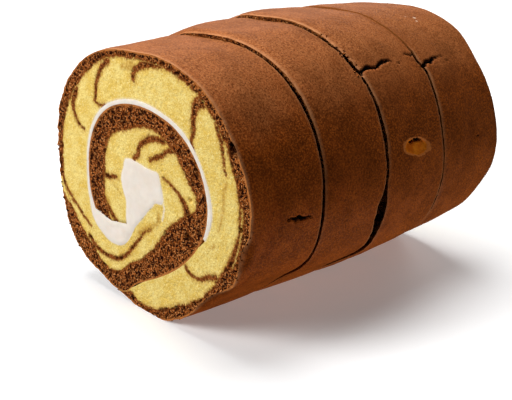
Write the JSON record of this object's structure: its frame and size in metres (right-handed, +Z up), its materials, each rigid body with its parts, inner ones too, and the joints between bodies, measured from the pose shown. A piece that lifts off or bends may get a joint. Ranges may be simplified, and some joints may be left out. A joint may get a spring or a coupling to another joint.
{
  "type": "swiss roll cake",
  "caption": "Sliced swiss roll cake lying on its side: a sheet of chocolate and vanilla sponge wound round a core of cream.",
  "frame": {"origin": "on the surface it rests on, under the middle of the roll", "axes": "+Y along the roll, from the front cut face (at -Y) to the back one; +Z up; +X to the right as the front cut face is seen"},
  "size_m": [0.0979, 0.1052, 0.0836],
  "materials": {
    "chocolate_sponge": "soft brown sponge, coarse crumb, smooth baked outside, fully matte",
    "vanilla_sponge": "soft yellow sponge with a fine open crumb and brown marbling, fully matte",
    "cream": "smooth pale cream, slightly satin"
  },
  "bodies": {
    "root": {"chocolate_sponge_1": "chocolate_sponge", "vanilla_sponge_1": "vanilla_sponge", "cream_1": "cream", "chocolate_sponge_2": "chocolate_sponge", "vanilla_sponge_2": "vanilla_sponge", "cream_2": "cream", "chocolate_sponge_3": "chocolate_sponge", "vanilla_sponge_3": "vanilla_sponge", "cream_3": "cream", "chocolate_sponge_4": "chocolate_sponge", "vanilla_sponge_4": "vanilla_sponge", "cream_4": "cream"}
  },
  "joints": []
}
